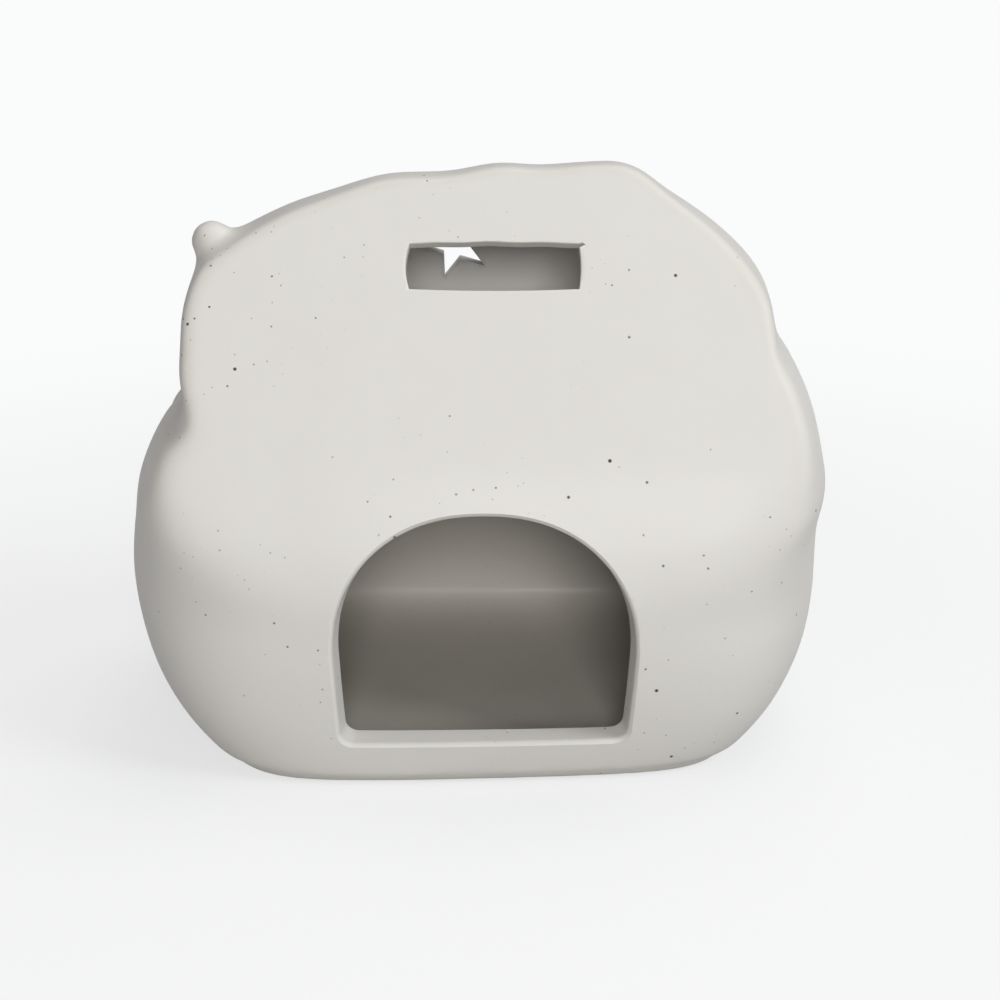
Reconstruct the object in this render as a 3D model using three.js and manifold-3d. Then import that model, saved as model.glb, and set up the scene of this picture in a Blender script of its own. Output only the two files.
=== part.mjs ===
// Votive candle holder in white slip-cast porcelain.
//
// The holder is a hollow mound. Its plain back has an arched door for the candle and a hand-cut slot
// that lets the heat out. Its front is a bank of rounded clouds with star-shaped light holes. It is
// made of three castings luted together with slip: a back shell, a front shell, and a dished floor
// that both shells hold in a groove.
//
// Millimetres, +Z up. The back faces -Y and the front +Y, and the holder stands on Z = 0.

import * as THREE from 'three';
import { mergeVertices } from 'three/addons/utils/BufferGeometryUtils.js';
import Module from 'manifold-3d';

const wasm = await Module();
wasm.setup();

// Shell
const WIDTH = 138.3;
const HEIGHT = 112.6;
const WALL = 5;
const BACK_DEPTH = 42;
const FRONT_DEPTH = 42;
const CROWN_HEIGHT = 34; // where both faces stand out furthest
const BACK_LEAN = 36; // how far each face has leaned in, in all, by the top of the outline
const FRONT_LEAN = 17;
const LEAN_BEND = 1.5; // 1 is a straight lean from the crown, and more is a hollow start
const TOP_SPREAD = 1.35; // depth of the egg that each flat face is cut from, in depths of the face
const FOOT_SPREAD = 1.8;
const SHOULDER_SPREAD = 2.8; // the same on the back's shoulders, which stay flat up to their edge
const SHOULDER_START = 0.1; // sines of the slopes above the crown between which they begin
const SHOULDER_END = 0.6;
const SPREAD_START = -0.64; // sines of the slopes below the crown between which the spread grows
const SPREAD_END = 0.7;
const EDGE_HARDNESS = 7; // how tightly the panel's edges turn
const FOOT_TUCK = 4.4; // how far both faces come in again towards the foot
const TUCK_SKEW = 3.2; // less so at the left end of the foot, and more at the right end
const FOOT_ROUND = 2.2; // rounded edge where the foot meets the table
const SEAM_GAP = 0.3; // slip joint between two castings

// The outline of the mound seen from the back, in shares of its width and height, anticlockwise from
// the foot at the right. The mound is an egg that the table cuts off, so the last points lie below it.
const OUTLINE = [
  [0.39, 0], [0.444, 0.08], [0.479, 0.176], [0.491, 0.27], [0.491, 0.355], [0.491, 0.42],
  [0.499, 0.48], [0.494, 0.514], [0.473, 0.611], [0.443, 0.683], [0.421, 0.721], [0.406, 0.801],
  [0.383, 0.844], [0.333, 0.901], [0.264, 0.957], [0.227, 0.989], [0.199, 1], [0.163, 1],
  [0.089, 0.994], [0.03, 0.997], [-0.039, 0.983], [-0.127, 0.978], [-0.2, 0.953], [-0.27, 0.925],
  [-0.347, 0.878], [-0.383, 0.847], [-0.404, 0.79], [-0.408, 0.737], [-0.409, 0.691],
  [-0.401, 0.622], [-0.446, 0.571], [-0.479, 0.494], [-0.491, 0.421], [-0.501, 0.302],
  [-0.479, 0.16], [-0.442, 0.071], [-0.392, 0], [-0.347, -0.053], [-0.304, -0.098],
  [-0.202, -0.147], [0, -0.16], [0.202, -0.147], [0.3, -0.098], [0.343, -0.053],
];
const CALM_TURN = 0.5; // the outline's waves die out towards the crown: they are averaged over this
const EDGE_PULL = 4; // angle there, and come back by this power of the way to the edge
const HALF_FOOT = OUTLINE[0][0] * WIDTH;

// Candle door in the back wall
const DOOR_WIDTH = 57.2;
const DOOR_HEIGHT = 46.2;
const DOOR_CENTRE_X = 1.7;
const SILL_HEIGHT = 9;
const DOOR_ARCH_RISE = 27;
const DOOR_ARCH_POWER = 2.25; // 2 is an ellipse, and more is a fuller arch
const DOOR_CORNER = 2.6;
const DOOR_JAMB_LEAN = 0.7; // how far each jamb leans in at the sill
const DOOR_TAPER = 0.18; // how far each edge moves in, for each millimetre of depth

// Heat slot in the back wall
const SLOT_WIDTH = 31.9;
const SLOT_HEIGHT = 9.2;
const SLOT_CENTRE_X = 3.5;
const SLOT_CENTRE_HEIGHT = 96.75;
const SLOT_BOW = 0.7; // the hand-cut left end bulges out, and the long edges by half as much
const SLOT_NICK = 1; // the knife ran on past the upper right corner

// Floor, held in a groove round the inside of both shells. Its edge turns up the walls in a cove.
const FLOOR_TOP = 6;
const FLOOR_THICKNESS = 4;
const GROOVE_DEPTH = 2.5;
const BACK_COVE = 3; // height of the cove at each wall
const FRONT_COVE = 9;
const COVE_POWER = 4;
const CORNER_HARDNESS = 24; // how tightly the floor's edge turns up the side walls
const FOOT_RING = 9; // width of the ring that the holder stands on, inside its rounded edge

// Places on the front face are given by their turn round the crown, in degrees, and their share of
// the way from the crown to the outline.

// Light holes in the front wall: turn, share, and how far the star itself is turned, in degrees
const STAR_RADIUS = 6.9;
const STAR_INNER_SHARE = 0.4;
const STARS = [
  [94.7, 0.729, -18],
  [53.7, 0.709, 12],
  [131.4, 0.605, 24],
  [74.9, 0.337, -6],
  [21, 0.392, 30],
];

// Cloud puffs, each an ellipsoid let into the front face: turn, share, how deep its centre lies and
// its three radii, both in radii of a cloud
const CLOUD_RADIUS = 12;
const PUFFS = [
  [141, 0.81, 1.08, 0.83, 1, 0.75],
  [156, 0.825, 0.92, 0.98, 1.17, 0.8],
  [173, 0.794, 1.3, 1.28, 1.42, 1.23],
  [-164, 0.77, 1.33, 1.33, 1.33, 1.33],
  [124.5, 0.86, 0.8, 0.97, 1.08, 0.87],
  [115, 0.835, 0.8, 0.97, 1.08, 0.87],
  [103.5, 0.825, 0.83, 1.02, 1.03, 0.87],
  [85, 0.835, 0.82, 1, 1.05, 0.83],
  [70.5, 0.852, 0.82, 1, 1.12, 0.95],
  [57, 0.845, 0.92, 1, 1.12, 0.95],
  [45, 0.79, 1.25, 0.97, 1.08, 0.92],
  [27.5, 0.749, 1.55, 1.57, 1.33, 1.57],
  [14.5, 0.793, 1.12, 1.17, 1.25, 0.87],
  [-7, 0.735, 1.47, 1.5, 1.42, 1.42],
  [-143.5, 0.61, 1.08, 2.08, 1.58, 1.33],
  [-80, 0.52, 0.53, 2.25, 1.33, 1.17],
  [-31.5, 0.66, 1.08, 1.83, 1.67, 1.42],
];

// Bump on the left shoulder, moulded half on each shell
const BUMP_RADIUS = 3.7;
const BUMP_TURN = 129.1;
const BUMP_STAND_OFF = 0.9; // how far its centre lies off the outline

// Fineness of the curved faces
const OUTER_SEGMENTS = 96;
const OUTER_RINGS = 12;
const INNER_SEGMENTS = 60;
const INNER_RINGS = 9;
const OUTLINE_SAMPLES = 720;
const FOOT_SEGMENTS = 72;
const PUFF_SEGMENTS = 18;
const PUFF_RINGS = 11;

const REACH = WIDTH + HEIGHT; // longer than the holder, for cuts that run right through
const OVERLAP = WALL / 5; // how far two bodies run into each other where they are joined

// A closed three.js geometry as a solid that can be joined and cut
function solidOf(geometry) {
  const bare = geometry.clone();
  bare.deleteAttribute('normal');
  bare.deleteAttribute('uv');
  const merged = mergeVertices(bare, 1e-4);
  return new wasm.Manifold(
    new wasm.Mesh({
      numProp: 3,
      vertProperties: new Float32Array(merged.attributes.position.array),
      triVerts: new Uint32Array(merged.index.array),
    }),
  );
}

function geometryOf(solid) {
  const { vertProperties, triVerts } = solid.getMesh();
  const geometry = new THREE.BufferGeometry();
  geometry.setAttribute('position', new THREE.BufferAttribute(vertProperties, 3));
  geometry.setIndex(new THREE.BufferAttribute(triVerts, 1));
  geometry.computeVertexNormals();
  return geometry;
}

function boxSolid(low, high) {
  const size = high.map((value, axis) => value - low[axis]);
  const centre = high.map((value, axis) => (value + low[axis]) / 2);
  return solidOf(new THREE.BoxGeometry(...size).translate(...centre));
}

// The outline moved in by an inset, as a radius for each direction round the crown
function radiusAround(inset) {
  const points = OUTLINE.map(([x, z]) => new THREE.Vector3(x * WIDTH, 0, z * HEIGHT - CROWN_HEIGHT));
  const curve = new THREE.CatmullRomCurve3(points, true, 'centripetal');
  const samples = [];
  for (let i = 0; i < OUTLINE_SAMPLES; i += 1) {
    const along = i / OUTLINE_SAMPLES;
    const point = curve.getPointAt(along);
    const run = curve.getTangentAt(along);
    const x = point.x - inset * run.z;
    const z = point.z + inset * run.x;
    samples.push({ angle: Math.atan2(z, x), radius: Math.hypot(x, z) });
  }
  samples.sort((a, b) => a.angle - b.angle);
  return (angle) => {
    let low = 0;
    let high = samples.length - 1;
    if (angle <= samples[low].angle || angle >= samples[high].angle) return samples[low].radius;
    while (high - low > 1) {
      const middle = (low + high) >> 1;
      if (samples[middle].angle <= angle) low = middle;
      else high = middle;
    }
    const share = (angle - samples[low].angle) / (samples[high].angle - samples[low].angle);
    return THREE.MathUtils.lerp(samples[low].radius, samples[high].radius, share);
  };
}

// Where the wall lies at a share of the way from the crown to the outline, and the share at a reach
function wallForm(inset) {
  const edge = radiusAround(inset);
  const calm = (angle) => {
    const steps = 4;
    let sum = 0;
    for (let i = -steps; i <= steps; i += 1) {
      const near = angle + (i / steps) * CALM_TURN;
      sum += edge(Math.atan2(Math.sin(near), Math.cos(near)));
    }
    return sum / (2 * steps + 1);
  };
  const reachAt = (share, angle) => (
    share * THREE.MathUtils.lerp(calm(angle), edge(angle), share ** EDGE_PULL)
  );
  const shareAt = (reach, angle) => {
    let low = 0;
    let high = 1;
    for (let i = 0; i < 24; i += 1) {
      const middle = (low + high) / 2;
      if (reachAt(middle, angle) < reach) low = middle;
      else high = middle;
    }
    return (low + high) / 2;
  };
  return { edge, reachAt, shareAt };
}

// How far a face stands out, as a share of its depth: the smooth lesser of a panel, which leans in
// above the crown and tucks in below it, and an egg that is deeper than the panel by the spread
function fullness(front, share, angle, x, z) {
  const rise = (z - CROWN_HEIGHT) / (HEIGHT - CROWN_HEIGHT);
  const topLean = front ? FRONT_LEAN / FRONT_DEPTH : BACK_LEAN / BACK_DEPTH;
  const lean = topLean * Math.max(0, rise) ** LEAN_BEND;
  const skewed = FOOT_TUCK + TUCK_SKEW * (x / HALF_FOOT);
  const tuck = (skewed / BACK_DEPTH) * Math.max(0, 1 - z / CROWN_HEIGHT) ** 2;
  const panel = 1 - lean - tuck;
  const downward = THREE.MathUtils.smoothstep(-Math.sin(angle), SPREAD_START, SPREAD_END);
  const shoulder = front ? 0 : THREE.MathUtils.smoothstep(Math.sin(angle), SHOULDER_START, SHOULDER_END);
  const round = THREE.MathUtils.lerp(TOP_SPREAD, FOOT_SPREAD, downward);
  const spread = THREE.MathUtils.lerp(round, SHOULDER_SPREAD, shoulder);
  const egg = spread * Math.sqrt(Math.max(1e-9, 1 - share * share));
  const lesser = (one, other) => (
    (one ** -EDGE_HARDNESS + other ** -EDGE_HARDNESS) ** (-1 / EDGE_HARDNESS)
  );
  return lesser(panel, egg) / lesser(1, spread);
}

// Share of its full depth that the space inside has at a height in its cove
function coveShare(height, coveHeight) {
  const left = THREE.MathUtils.clamp(1 - height / coveHeight, 0, 1);
  return (1 - left ** COVE_POWER) ** (1 / COVE_POWER);
}

// One closed body from rings of points that run from the back crown to the front crown
function ringSolid(segments, rings, pointAt) {
  const positions = [...pointAt(0, 0)];
  const indices = [];
  for (let ring = 1; ring < rings; ring += 1) {
    for (let segment = 0; segment < segments; segment += 1) {
      const angle = -Math.PI + ((segment + 0.5) / segments) * 2 * Math.PI;
      positions.push(...pointAt((ring / rings) * Math.PI, angle));
    }
  }
  positions.push(...pointAt(Math.PI, 0));
  const last = positions.length / 3 - 1;
  for (let segment = 0; segment < segments; segment += 1) {
    const next = (segment + 1) % segments;
    indices.push(0, 1 + segment, 1 + next);
    for (let ring = 1; ring < rings - 1; ring += 1) {
      const row = 1 + (ring - 1) * segments;
      const a = row + segment;
      const b = row + next;
      indices.push(a, a + segments, b, b, a + segments, b + segments);
    }
    const end = 1 + (rings - 2) * segments;
    indices.push(last, end + next, end + segment);
  }
  const geometry = new THREE.BufferGeometry();
  geometry.setAttribute('position', new THREE.Float32BufferAttribute(positions, 3));
  geometry.setIndex(indices);
  return solidOf(geometry);
}

// The whole mound, with its surface moved in by an inset
function mound(inset, segments, rings) {
  const wall = wallForm(inset);
  return ringSolid(segments, 2 * rings, (turn, angle) => {
    const share = Math.sin(turn);
    const reach = wall.reachAt(share, angle);
    const side = Math.sign(Math.round(-1e6 * Math.cos(turn)));
    const depth = side < 0 ? BACK_DEPTH - inset : FRONT_DEPTH - inset;
    const z = CROWN_HEIGHT + reach * Math.sin(angle);
    const x = reach * Math.cos(angle);
    return [x, side * depth * fullness(side > 0, share, angle, x, z), z];
  });
}

// The space inside the holder, which closes in a cove at its foot, down to just below the floor's top
function chamber() {
  const wall = wallForm(WALL);
  const bottom = FLOOR_TOP - SEAM_GAP;
  return ringSolid(INNER_SEGMENTS, 2 * INNER_RINGS, (turn, angle) => {
    const side = Math.sign(Math.round(-1e6 * Math.cos(turn)));
    const depth = side < 0 ? BACK_DEPTH - WALL : FRONT_DEPTH - WALL;
    const floorReach = angle < 0 ? (CROWN_HEIGHT - bottom) / -Math.sin(angle) : Infinity;
    const both = wall.edge(angle) ** -CORNER_HARDNESS + floorReach ** -CORNER_HARDNESS;
    const reach = Math.sin(turn) * both ** (-1 / CORNER_HARDNESS);
    const z = CROWN_HEIGHT + reach * Math.sin(angle);
    const cove = coveShare(z - bottom, side < 0 ? BACK_COVE : FRONT_COVE);
    const x = reach * Math.cos(angle);
    const full = fullness(side > 0, wall.shareAt(reach, angle), angle, x, z);
    return [x, side * depth * full * cove, z];
  });
}

const outerWall = wallForm(0);

// Depth of a face of the mound over a point of the back view, and its outward direction there
function faceDepth(front, x, z) {
  const rise = z - CROWN_HEIGHT;
  const angle = Math.atan2(rise, x);
  const share = outerWall.shareAt(Math.hypot(x, rise), angle);
  return (front ? FRONT_DEPTH : BACK_DEPTH) * fullness(front, share, angle, x, z);
}

// The point of the front face at a turn and a share
function frontPoint(turn, share) {
  const angle = THREE.MathUtils.degToRad(turn);
  const reach = outerWall.reachAt(share, angle);
  const x = reach * Math.cos(angle);
  const z = CROWN_HEIGHT + reach * Math.sin(angle);
  return new THREE.Vector3(x, faceDepth(true, x, z), z);
}

function faceNormal(front, x, z) {
  const step = 0.5;
  const slopeX = (faceDepth(front, x + step, z) - faceDepth(front, x - step, z)) / (2 * step);
  const slopeZ = (faceDepth(front, x, z + step) - faceDepth(front, x, z - step)) / (2 * step);
  return new THREE.Vector3(-slopeX, 1, -slopeZ).normalize();
}

// Where the faces meet the table: points round the foot, each with its outward direction
function footprint() {
  const points = [];
  for (let segment = 0; segment < FOOT_SEGMENTS; segment += 1) {
    const angle = ((segment + 0.5) / FOOT_SEGMENTS) * 2 * Math.PI;
    const front = Math.sin(angle) > 0;
    let low = 0;
    let high = WIDTH;
    for (let i = 0; i < 24; i += 1) {
      const middle = (low + high) / 2;
      const out = middle * Math.abs(Math.sin(angle));
      if (faceDepth(front, middle * Math.cos(angle), 0) > out) low = middle;
      else high = middle;
    }
    points.push(new THREE.Vector2(low * Math.cos(angle), low * Math.sin(angle)));
  }
  return points.map((point, i) => {
    const before = points[(i + FOOT_SEGMENTS - 1) % FOOT_SEGMENTS];
    const after = points[(i + 1) % FOOT_SEGMENTS];
    const out = new THREE.Vector2(after.y - before.y, before.x - after.x).normalize();
    return { point, out };
  });
}

// A solid through levels of the footprint, each a height and how far the footprint is moved out
function footLoft(levels) {
  const around = footprint();
  const positions = [0, 0, levels[0][0]];
  for (const [height, offset] of levels) {
    for (const { point, out } of around) {
      positions.push(point.x + offset * out.x, point.y + offset * out.y, height);
    }
  }
  positions.push(0, 0, levels[levels.length - 1][0]);
  const top = positions.length / 3 - 1;
  const indices = [];
  for (let segment = 0; segment < FOOT_SEGMENTS; segment += 1) {
    const next = (segment + 1) % FOOT_SEGMENTS;
    indices.push(0, 1 + next, 1 + segment);
    for (let level = 0; level < levels.length - 1; level += 1) {
      const a = 1 + level * FOOT_SEGMENTS + segment;
      const b = 1 + level * FOOT_SEGMENTS + next;
      indices.push(a, b, a + FOOT_SEGMENTS, b, b + FOOT_SEGMENTS, a + FOOT_SEGMENTS);
    }
    indices.push(top, top - FOOT_SEGMENTS + segment, top - FOOT_SEGMENTS + next);
  }
  const geometry = new THREE.BufferGeometry();
  geometry.setAttribute('position', new THREE.Float32BufferAttribute(positions, 3));
  geometry.setIndex(indices);
  return solidOf(geometry);
}

// Everything above the table and inside the rounded edge of the foot. Above the edge it opens out
// faster than the faces do.
function footSpace() {
  const levels = [[0, -FOOT_ROUND]];
  for (const turn of [Math.PI / 6, Math.PI / 3]) {
    levels.push([FOOT_ROUND * (1 - Math.cos(turn)), -FOOT_ROUND * (1 - Math.sin(turn))]);
  }
  const open = CROWN_HEIGHT / 2;
  levels.push([FOOT_ROUND, FOOT_ROUND / 4], [open, CROWN_HEIGHT]);
  return footLoft(levels).add(boxSolid([-REACH, -REACH, open - OVERLAP], [REACH, REACH, REACH]));
}

// The hollow under the floor, inside the ring that the holder stands on
function footHollow() {
  const offset = -FOOT_ROUND - FOOT_RING;
  return footLoft([[-OVERLAP, offset], [FLOOR_TOP - FLOOR_THICKNESS, offset]]);
}

// A cutter with the section of a flat shape, which runs along a direction through a point
function cutter(shape, length, point, direction) {
  const geometry = new THREE.ExtrudeGeometry(shape, {
    depth: length, bevelEnabled: false, curveSegments: 12,
  });
  geometry.translate(0, 0, -length / 2);
  const across = new THREE.Vector3().crossVectors(new THREE.Vector3(0, 0, 1), direction).normalize();
  const up = new THREE.Vector3().crossVectors(direction, across);
  geometry.applyMatrix4(new THREE.Matrix4().makeBasis(across, up, direction).setPosition(point));
  return solidOf(geometry);
}

function doorShape() {
  const half = DOOR_WIDTH / 2;
  const foot = half - DOOR_JAMB_LEAN;
  const spring = DOOR_HEIGHT - DOOR_ARCH_RISE;
  const steps = 28;
  const shape = new THREE.Shape();
  shape.moveTo(-foot + DOOR_CORNER, 0);
  shape.lineTo(foot - DOOR_CORNER, 0);
  shape.quadraticCurveTo(foot, 0, foot, DOOR_CORNER);
  for (let i = 0; i <= steps; i += 1) {
    const turn = (i / steps) * Math.PI;
    const across = Math.abs(Math.cos(turn)) ** (2 / DOOR_ARCH_POWER) * Math.sign(Math.cos(turn));
    const up = Math.sin(turn) ** (2 / DOOR_ARCH_POWER);
    shape.lineTo(half * across, spring + DOOR_ARCH_RISE * up);
  }
  shape.lineTo(-foot, DOOR_CORNER);
  shape.quadraticCurveTo(-foot, 0, -foot + DOOR_CORNER, 0);
  return shape;
}

// The door is cut level into the wall and narrows as it goes in
function doorCutter() {
  const outside = BACK_DEPTH + WALL;
  const inside = BACK_DEPTH - 3 * WALL;
  const geometry = new THREE.ExtrudeGeometry(doorShape(), {
    depth: outside - inside, bevelEnabled: false,
  });
  const place = geometry.attributes.position;
  const middle = DOOR_HEIGHT / 2;
  for (let i = 0; i < place.count; i += 1) {
    const away = DOOR_TAPER * (place.getZ(i) + inside - BACK_DEPTH);
    place.setX(i, place.getX(i) * (1 + (2 * away) / DOOR_WIDTH));
    place.setY(i, middle + (place.getY(i) - middle) * (1 + (2 * away) / DOOR_HEIGHT));
  }
  geometry.rotateX(Math.PI / 2);
  geometry.translate(DOOR_CENTRE_X, -inside, SILL_HEIGHT);
  return solidOf(geometry);
}

function slotShape() {
  const half = SLOT_WIDTH / 2;
  const rise = SLOT_HEIGHT / 2;
  const shape = new THREE.Shape();
  shape.moveTo(-half, -rise);
  shape.quadraticCurveTo(0, -rise - SLOT_BOW / 2, half, -rise);
  shape.lineTo(half, rise - SLOT_NICK / 2);
  shape.lineTo(half + SLOT_NICK, rise);
  shape.lineTo(half, rise + SLOT_NICK / 4);
  shape.quadraticCurveTo(0, rise + SLOT_BOW / 2, -half, rise);
  shape.quadraticCurveTo(-half - SLOT_BOW, 0, -half, -rise);
  return shape;
}

// The slot is cut square to the leaning wall
function slotCutter() {
  const normal = faceNormal(false, SLOT_CENTRE_X, SLOT_CENTRE_HEIGHT);
  const depth = faceDepth(false, SLOT_CENTRE_X, SLOT_CENTRE_HEIGHT);
  const point = new THREE.Vector3(SLOT_CENTRE_X, -depth, SLOT_CENTRE_HEIGHT);
  const direction = new THREE.Vector3(0, -normal.y, normal.z).normalize();
  return cutter(slotShape(), 4 * WALL, point, direction);
}

function starShape(turn) {
  const shape = new THREE.Shape();
  for (let corner = 0; corner < 10; corner += 1) {
    const angle = Math.PI / 2 + THREE.MathUtils.degToRad(turn) + (corner * Math.PI) / 5;
    const reach = corner % 2 ? STAR_RADIUS * STAR_INNER_SHARE : STAR_RADIUS;
    const point = [reach * Math.cos(angle), reach * Math.sin(angle)];
    if (corner) shape.lineTo(...point);
    else shape.moveTo(...point);
  }
  shape.closePath();
  return shape;
}

// The stars are punched level through the leaning wall
function starCutter([turn, share, starTurn]) {
  const point = frontPoint(turn, share);
  const level = faceNormal(true, point.x, point.z).setZ(0).normalize();
  return cutter(starShape(starTurn), 8 * WALL, point, level);
}

function puffSolid([turn, share, sink, radiusX, radiusY, radiusZ]) {
  const { x, y, z } = frontPoint(turn, share);
  const geometry = new THREE.SphereGeometry(1, PUFF_SEGMENTS, PUFF_RINGS);
  geometry.scale(CLOUD_RADIUS * radiusX, CLOUD_RADIUS * radiusY, CLOUD_RADIUS * radiusZ);
  geometry.translate(x, y - CLOUD_RADIUS * sink, z);
  return solidOf(geometry);
}

function bumpSolid() {
  const angle = THREE.MathUtils.degToRad(BUMP_TURN);
  const reach = outerWall.edge(angle) + BUMP_STAND_OFF;
  const geometry = new THREE.SphereGeometry(BUMP_RADIUS, PUFF_SEGMENTS, PUFF_RINGS);
  geometry.translate(reach * Math.cos(angle), 0, CROWN_HEIGHT + reach * Math.sin(angle));
  return solidOf(geometry);
}

// A slice of the mound between two heights
function slice(inset, low, high) {
  return mound(inset, INNER_SEGMENTS, INNER_RINGS)
    .intersect(boxSolid([-REACH, -REACH, low], [REACH, REACH, high]));
}

const outer = mound(0, OUTER_SEGMENTS, OUTER_RINGS).add(bumpSolid()).intersect(footSpace());
const floorBottom = FLOOR_TOP - FLOOR_THICKNESS;
const floorEdge = WALL - GROOVE_DEPTH;
const coveFoot = FLOOR_TOP - OVERLAP;
const cove = slice(WALL + SEAM_GAP, coveFoot, FLOOR_TOP + FRONT_COVE)
  .subtract(boxSolid([-REACH, -REACH, FLOOR_TOP + BACK_COVE], [REACH, 0, REACH]))
  .subtract(chamber());
const floor = slice(floorEdge, floorBottom, FLOOR_TOP).add(cove);
const groove = slice(floorEdge - SEAM_GAP, floorBottom - SEAM_GAP, FLOOR_TOP + SEAM_GAP);
const hollow = slice(WALL, FLOOR_TOP, REACH).add(groove).add(footHollow());

const backSpace = boxSolid([-REACH, -REACH, -REACH], [REACH, -SEAM_GAP / 2, REACH]);
const frontSpace = boxSolid([-REACH, SEAM_GAP / 2, -REACH], [REACH, REACH, REACH]);
const backShell = outer
  .intersect(backSpace)
  .subtract(hollow)
  .subtract(doorCutter())
  .subtract(slotCutter());

// The clouds lap round the edge of the back shell, and stop short of it by the joint's gap
const backEnvelope = mound(-SEAM_GAP, OUTER_SEGMENTS, OUTER_RINGS)
  .intersect(boxSolid([-REACH, -REACH, -REACH], [REACH, SEAM_GAP / 2, REACH]));
const clouds = PUFFS.map(puffSolid)
  .reduce((joined, puff) => joined.add(puff))
  .intersect(boxSolid([-REACH, -REACH, 0], [REACH, REACH, REACH]))
  .subtract(backEnvelope);
let frontShell = outer.intersect(frontSpace).add(clouds).subtract(hollow);
for (const star of STARS) frontShell = frontShell.subtract(starCutter(star));

function piece(name, solid, color, roughness) {
  const material = new THREE.MeshStandardMaterial({ color, roughness, metalness: 0 });
  const mesh = new THREE.Mesh(geometryOf(solid), material);
  mesh.name = name;
  return mesh;
}

const holder = new THREE.Group();
holder.add(piece('back_shell', backShell, 0xe6e3dc, 0.35));
holder.add(piece('front_shell', frontShell, 0xe6e3dc, 0.35));
holder.add(piece('floor_plate', floor, 0xd8d5cb, 0.6));

// The origin is on the table, under the middle of the holder
const middle = new THREE.Box3().setFromObject(holder).getCenter(new THREE.Vector3());
holder.position.set(-middle.x, -middle.y, 0);

export default holder;
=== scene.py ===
"""Votive candle holder in white glazed porcelain, looked at from its plain back.

The body is cast in the frame of the packed part: a hollow mound with an arched candle door and a
heat slot in its flat back, and a bank of clouds pierced by stars at its front. The whole body is
formed once, softened as a coat of glaze softens it, and then parted into the three castings.
"""

import itertools
import math

import bmesh
import bpy
import numpy as np
from bpy.props import FloatProperty, FloatVectorProperty, IntProperty, PointerProperty
from mathutils import Matrix, Vector
from mathutils.kdtree import KDTree


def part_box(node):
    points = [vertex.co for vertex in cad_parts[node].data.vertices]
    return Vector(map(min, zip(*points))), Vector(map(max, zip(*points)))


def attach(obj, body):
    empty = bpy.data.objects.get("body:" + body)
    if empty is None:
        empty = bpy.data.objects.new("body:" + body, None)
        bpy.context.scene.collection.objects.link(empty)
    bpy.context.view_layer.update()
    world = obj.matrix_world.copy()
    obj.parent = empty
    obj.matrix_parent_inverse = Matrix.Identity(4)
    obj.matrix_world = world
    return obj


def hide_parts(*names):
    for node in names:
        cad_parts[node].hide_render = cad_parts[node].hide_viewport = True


bl_info = {
    "name": "Votive candle holder",
    "version": (1, 0, 0),
    "blender": (4, 5, 0),
    "location": "View3D > Sidebar > Candle holder",
    "description": "Casts and glazes a porcelain votive candle holder",
    "category": "Add Mesh",
}

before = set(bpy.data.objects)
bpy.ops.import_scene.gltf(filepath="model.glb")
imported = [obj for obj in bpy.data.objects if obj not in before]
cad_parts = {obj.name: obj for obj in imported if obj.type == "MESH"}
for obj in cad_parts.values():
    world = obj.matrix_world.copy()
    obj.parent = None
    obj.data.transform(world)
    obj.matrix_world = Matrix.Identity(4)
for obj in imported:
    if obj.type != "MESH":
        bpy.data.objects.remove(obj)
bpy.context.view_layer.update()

MM = 0.001
TWO_PI = 2 * math.pi
HALVINGS = 24  # rounds of halving in which a place is found to the last digit
SEAM_GAP = 0.3 * MM  # between the packed part's two shells

# Outline of the mound seen from the back, in shares of its width and height, anticlockwise from the
# foot at the right. It is an egg that the table cuts off, so the last points lie below the table.
# The lobes at the top lie a little above the height that the shares are taken of.
OUTLINE = (
    (0.39, 0), (0.444, 0.08), (0.479, 0.176), (0.491, 0.27), (0.491, 0.355), (0.491, 0.42),
    (0.499, 0.48), (0.494, 0.514), (0.473, 0.611), (0.443, 0.685), (0.421, 0.724), (0.406, 0.805),
    (0.383, 0.849), (0.333, 0.907), (0.264, 0.965), (0.227, 0.997), (0.199, 1.008), (0.163, 1.008),
    (0.089, 1.002), (0.03, 1.005), (-0.039, 0.991), (-0.127, 0.986), (-0.2, 0.961), (-0.27, 0.932),
    (-0.347, 0.884), (-0.383, 0.852), (-0.404, 0.794), (-0.408, 0.74), (-0.409, 0.693),
    (-0.401, 0.622), (-0.446, 0.571), (-0.479, 0.494), (-0.491, 0.421), (-0.501, 0.302),
    (-0.479, 0.16), (-0.442, 0.071), (-0.392, 0), (-0.347, -0.053), (-0.304, -0.098),
    (-0.202, -0.147), (0, -0.16), (0.202, -0.147), (0.3, -0.098), (0.343, -0.053),
)

# Stars in the front: turn round the crown and share of the way to the outline, and their own turn
STARS = (
    (94.7, 0.724, -18), (53.7, 0.709, 12), (131.4, 0.605, 24), (74.9, 0.337, -6), (21, 0.392, 30),
)

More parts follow.
